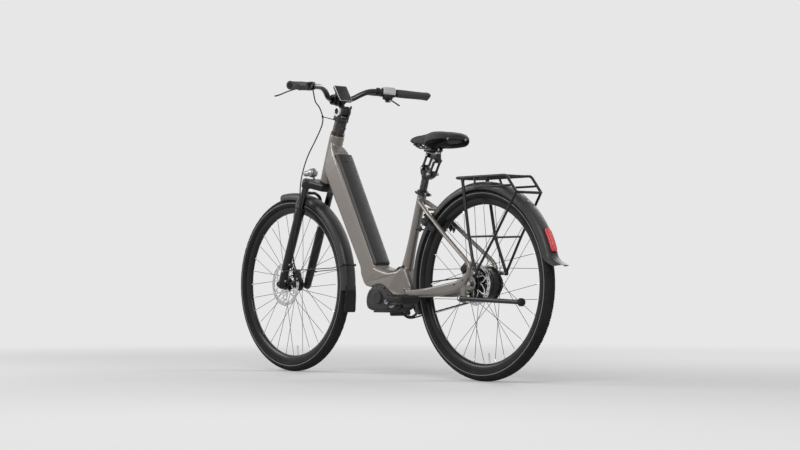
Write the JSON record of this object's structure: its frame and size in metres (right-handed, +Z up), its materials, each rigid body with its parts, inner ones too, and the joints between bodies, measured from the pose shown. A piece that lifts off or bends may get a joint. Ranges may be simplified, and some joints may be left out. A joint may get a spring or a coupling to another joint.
{
  "type": "electric bicycle",
  "caption": "Step-through electric city bicycle with a mid motor, down-tube battery, suspension fork, rack and mudguards.",
  "frame": {"origin": "centre of the bounding box on the floor", "axes": "+X forward, +Y to the rider's left, +Z up"},
  "size_m": [1.9278, 0.7186, 1.1586],
  "materials": {
    "champagne_paint": "satin metallic",
    "black_anodised": "satin",
    "bright_steel": "brushed",
    "black_plastic": "matte",
    "charcoal_plastic": "matte",
    "rubber": "matte",
    "tyre": "matte",
    "red_lens": "gloss"
  },
  "bodies": {
    "frame": {"head_tube": "champagne_paint", "down_tube": "champagne_paint", "motor_bracket": "champagne_paint", "motor_unit": "black_plastic", "seat_tube": "champagne_paint", "seat_clamp": "black_anodised", "rear_triangle_left": "champagne_paint", "rear_triangle_right": "champagne_paint", "rear_axle": "bright_steel", "rear_caliper": "black_anodised", "rear_rack": "black_anodised", "rear_mudguard": "charcoal_plastic", "rear_light": "red_lens", "lock_body": "black_plastic", "belt": "rubber"},
    "battery": {"battery": "charcoal_plastic"},
    "steering": {"fork_crown": "black_anodised", "stem": "black_anodised", "headlight": "black_plastic", "front_hose": "rubber"},
    "bar": {"stem_arm": "black_anodised", "handlebar": "black_anodised", "grip_left": "rubber", "grip_right": "rubber", "brake_housing_left": "black_anodised", "brake_housing_right": "black_anodised", "shifter": "black_plastic", "remote": "black_plastic"},
    "display": {"display": "black_plastic"},
    "brake_lever_left": {"brake_lever_left": "black_anodised"},
    "brake_lever_right": {"brake_lever_right": "black_anodised"},
    "shift_lever": {"shift_lever": "black_plastic"},
    "remote_key": {"remote_key": "charcoal_plastic"},
    "lowers": {"fork_lowers": "black_anodised", "front_caliper": "black_anodised", "front_mudguard": "charcoal_plastic"},
    "front_wheel": {"front_tyre": "tyre", "front_rim": "black_anodised", "front_hub": "black_anodised", "front_rotor": "bright_steel"},
    "rear_wheel": {"rear_tyre": "tyre", "rear_rim": "black_anodised", "rear_hub": "black_anodised", "rear_rotor": "bright_steel"},
    "rear_sprocket": {"rear_sprocket": "black_anodised"},
    "cranks": {"crank_left": "black_anodised", "crank_right": "black_anodised", "belt_ring": "black_anodised"},
    "pedal_left": {"pedal_left": "black_plastic"},
    "pedal_right": {"pedal_right": "black_plastic"},
    "seatpost": {"seatpost": "black_anodised"},
    "clamp_lever": {"clamp_lever": "black_anodised"},
    "link_front": {"post_link_front": "black_anodised"},
    "link_rear": {"post_link_rear": "black_anodised"},
    "saddle": {"post_head": "black_anodised", "saddle_rails": "bright_steel", "saddle": "rubber"},
    "kickstand": {"kickstand": "black_anodised"},
    "shackle": {"lock_shackle": "bright_steel"},
    "lock_key": {"lock_key": "black_plastic"}
  },
  "joints": [
    {"name": "battery_hinge", "type": "hinge", "parent": "frame", "child": "battery", "pos_m": [0.038, 0, 0.431], "axis": [0, -1, 0], "range_deg": [0, 32]},
    {"name": "steering_axis", "type": "hinge", "parent": "frame", "child": "steering", "pos_m": [0.56798, 0, 0.34264], "axis": [-0.3746, 0, 0.9272], "range_deg": [-60, 60]},
    {"name": "stem_angle", "type": "hinge", "parent": "steering", "child": "bar", "pos_m": [0.28671, 0, 1.05084], "axis": [0, 1, 0], "range_deg": [-12, 25]},
    {"name": "display_tilt", "type": "hinge", "parent": "bar", "child": "display", "pos_m": [0.319, 0, 1.1], "axis": [0, 1, 0], "range_deg": [-15, 10]},
    {"name": "brake_pull_left", "type": "hinge", "parent": "bar", "child": "brake_lever_left", "pos_m": [0.25385, 0.2403, 1.12671], "axis": [0, 0.0702, 0.9975], "range_deg": [0, 14], "stiffness_Nm_per_rad": 1.2},
    {"name": "brake_pull_right", "type": "hinge", "parent": "bar", "child": "brake_lever_right", "pos_m": [0.2709, -0.19768, 1.1297], "axis": [0, 0.0702, -0.9975], "range_deg": [0, 14], "stiffness_Nm_per_rad": 1.2},
    {"name": "shift_push", "type": "hinge", "parent": "bar", "child": "shift_lever", "pos_m": [0.23552, -0.19134, 1.10258], "axis": [0, -0.0702, 0.9975], "range_deg": [0, 25], "stiffness_Nm_per_rad": 0.3},
    {"name": "key_press", "type": "slide", "parent": "bar", "child": "remote_key", "axis": [0, -0.0702, -0.9975], "range_m": [0, 0.0008], "stiffness_N_per_m": 250},
    {"name": "fork_travel", "type": "slide", "parent": "steering", "child": "lowers", "axis": [-0.3746, 0, 0.9272], "range_m": [0, 0.045], "stiffness_N_per_m": 9000, "deforming": ["front_hose"]},
    {"name": "front_wheel_spin", "type": "hinge", "parent": "lowers", "child": "front_wheel", "pos_m": [0.606, 0, 0.358], "axis": [0, 1, 0], "continuous": true},
    {"name": "rear_wheel_spin", "type": "hinge", "parent": "frame", "child": "rear_wheel", "pos_m": [-0.547, 0, 0.358], "axis": [0, 1, 0], "continuous": true},
    {"name": "crank_spin", "type": "hinge", "parent": "frame", "child": "cranks", "pos_m": [-0.072, 0, 0.29], "axis": [0, 1, 0], "continuous": true},
    {"name": "sprocket_spin", "type": "hinge", "parent": "frame", "child": "rear_sprocket", "pos_m": [-0.547, 0, 0.358], "axis": [0, 1, 0], "continuous": true},
    {"name": "pedal_spin_left", "type": "hinge", "parent": "cranks", "child": "pedal_left", "pos_m": [-0.24159, 0, 0.30186], "axis": [0, 1, 0], "continuous": true},
    {"name": "pedal_spin_right", "type": "hinge", "parent": "cranks", "child": "pedal_right", "pos_m": [0.09759, 0, 0.27814], "axis": [0, 1, 0], "continuous": true},
    {"name": "post_height", "type": "slide", "parent": "frame", "child": "seatpost", "axis": [-0.2943, 0, 0.9557], "range_m": [-0.028, 0.1]},
    {"name": "clamp_release", "type": "hinge", "parent": "frame", "child": "clamp_lever", "pos_m": [-0.22793, 0.0235, 0.69826], "axis": [-0.2943, 0, 0.9557], "range_deg": [0, 150]},
    {"name": "link_swing", "type": "hinge", "parent": "seatpost", "child": "link_front", "pos_m": [-0.217, 0, 0.8], "axis": [0, 1, 0], "range_deg": [-25, 0], "stiffness_Nm_per_rad": 60, "springref_deg": 6.88},
    {"name": "link_swing_rear", "type": "hinge", "parent": "seatpost", "child": "link_rear", "pos_m": [-0.259, 0, 0.775], "axis": [0, 1, 0], "range_deg": [-26, 1]},
    {"name": "saddle_level", "type": "hinge", "parent": "link_front", "child": "saddle", "pos_m": [-0.245, 0, 0.85], "axis": [0, 1, 0], "range_deg": [-1, 26]},
    {"name": "stand_swing", "type": "hinge", "parent": "frame", "child": "kickstand", "pos_m": [-0.511, 0.0855, 0.305], "axis": [0, 0.963, 0.2696], "range_deg": [-98, 0]},
    {"name": "shackle_turn", "type": "hinge", "parent": "frame", "child": "shackle", "pos_m": [-0.29911, 0, 0.58057], "axis": [0.6455, 0, -0.7638], "range_deg": [0, 116], "stiffness_Nm_per_rad": 0.5},
    {"name": "key_turn", "type": "hinge", "parent": "frame", "child": "lock_key", "pos_m": [-0.28627, 0.06744, 0.59143], "axis": [-0.6455, 0, 0.7638], "range_deg": [0, 90]}
  ],
  "couplings": [
    {"joint": "sprocket_spin", "follows": "crank_spin", "ratio": 1.6364},
    {"joint": "link_swing_rear", "follows": "link_swing", "ratio": 1},
    {"joint": "saddle_level", "follows": "link_swing", "ratio": -1}
  ]
}
